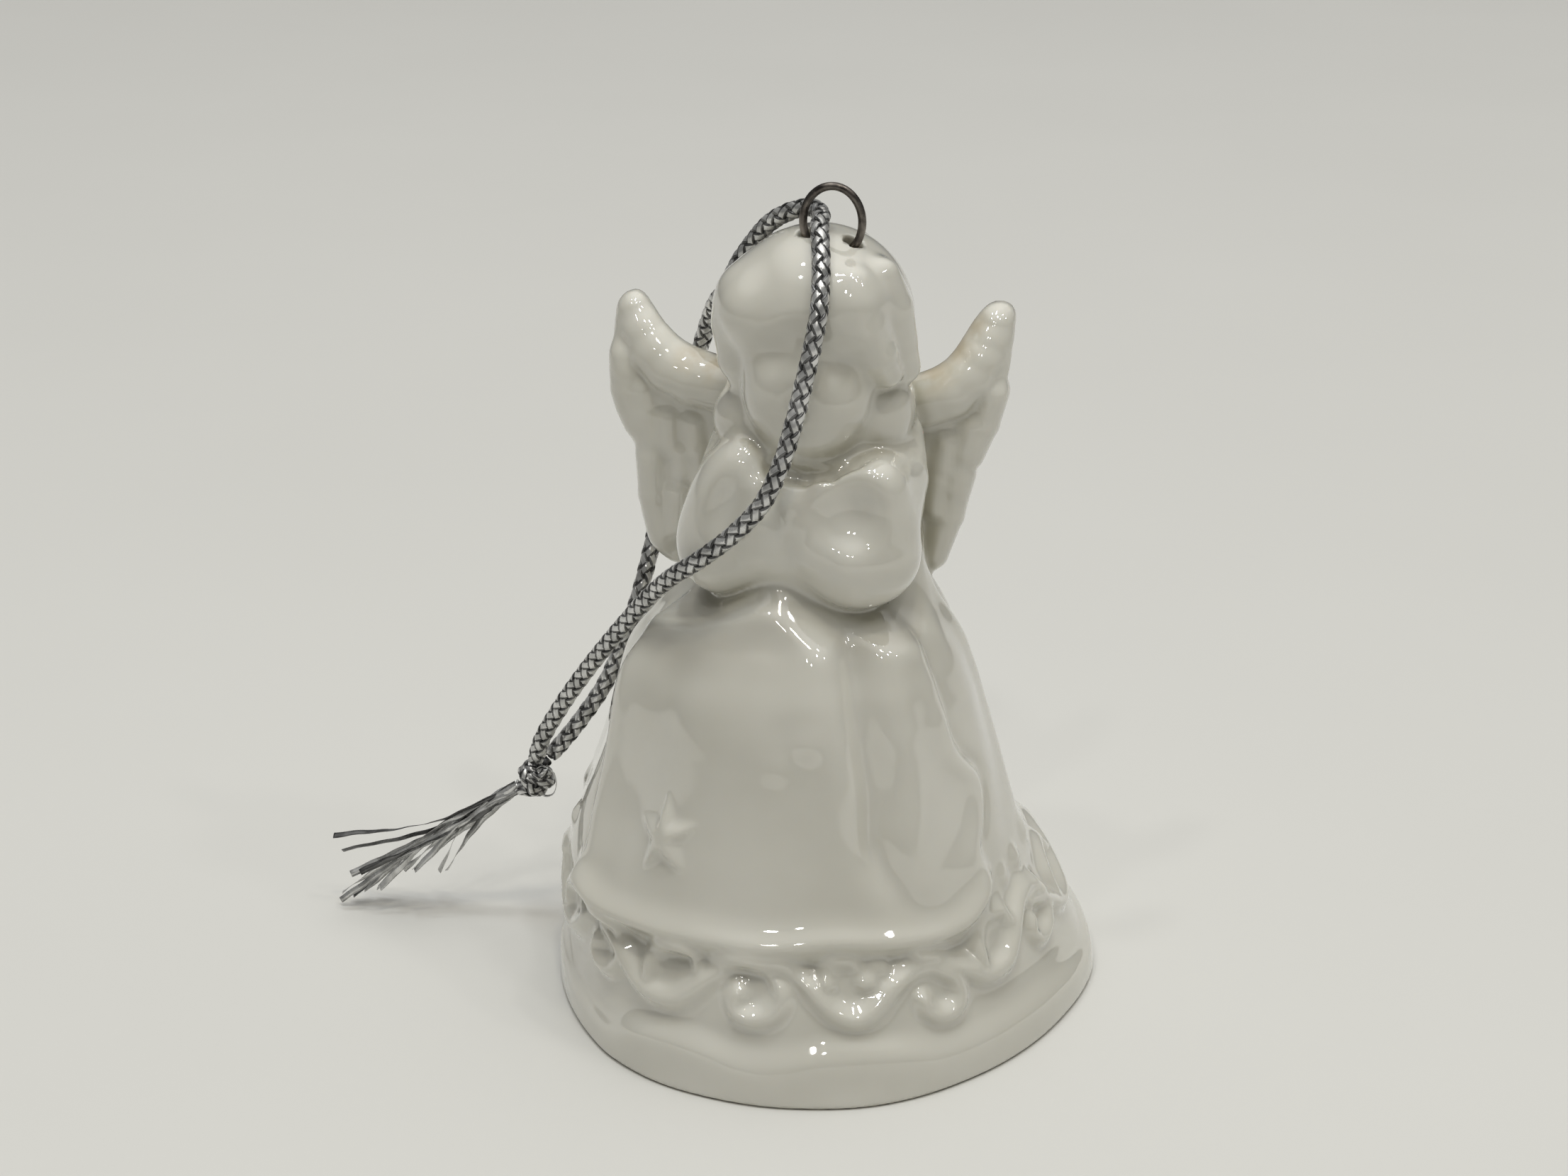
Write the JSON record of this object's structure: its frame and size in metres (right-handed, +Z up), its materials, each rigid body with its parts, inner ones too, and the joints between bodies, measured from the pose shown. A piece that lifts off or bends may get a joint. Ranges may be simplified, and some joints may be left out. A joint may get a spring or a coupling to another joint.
{
  "type": "angel bell ornament",
  "caption": "Hollow glazed porcelain angel whose dress is a bell, with a clapper on a wire link, a wire hanging ring in the crown and a braided metallic cord tied in a loop.",
  "frame": {"origin": "middle of the bell's rim, on the surface that it stands on", "axes": "+Z up through the crown, -Y the way the figure faces, +X to the figure's left"},
  "size_m": [0.062, 0.043, 0.0644],
  "materials": {
    "porcelain": "glossy off-white glaze",
    "bead_porcelain": "glossy off-white glaze",
    "oxidised_wire": "dark oxidised",
    "steel_wire": "drawn wire",
    "metallic_braid": "silver and grey metallised braid"
  },
  "bodies": {
    "figure": {"bell_body": "porcelain", "cord_loop": "metallic_braid", "cord_knot": "metallic_braid", "cord_tassel": "metallic_braid"},
    "ring": {"hanging_ring": "oxidised_wire"},
    "link": {"clapper_link": "steel_wire"},
    "clapper": {"clapper_wire": "steel_wire", "clapper_bead": "bead_porcelain"}
  },
  "joints": [
    {"name": "ring_lift", "type": "slide", "parent": "figure", "child": "ring", "axis": [0, 0, 1], "range_m": [0, 0.0009]},
    {"name": "link_swing", "type": "hinge", "parent": "ring", "child": "link", "pos_m": [0.00037, -0.0012, 0.057], "axis": [1, 0, 0], "range_deg": [-10.5, 10.5]},
    {"name": "clapper_swing", "type": "hinge", "parent": "link", "child": "clapper", "pos_m": [0.00037, -0.0012, 0.05136], "axis": [0, 1, 0], "range_deg": [-4, 4]}
  ]
}
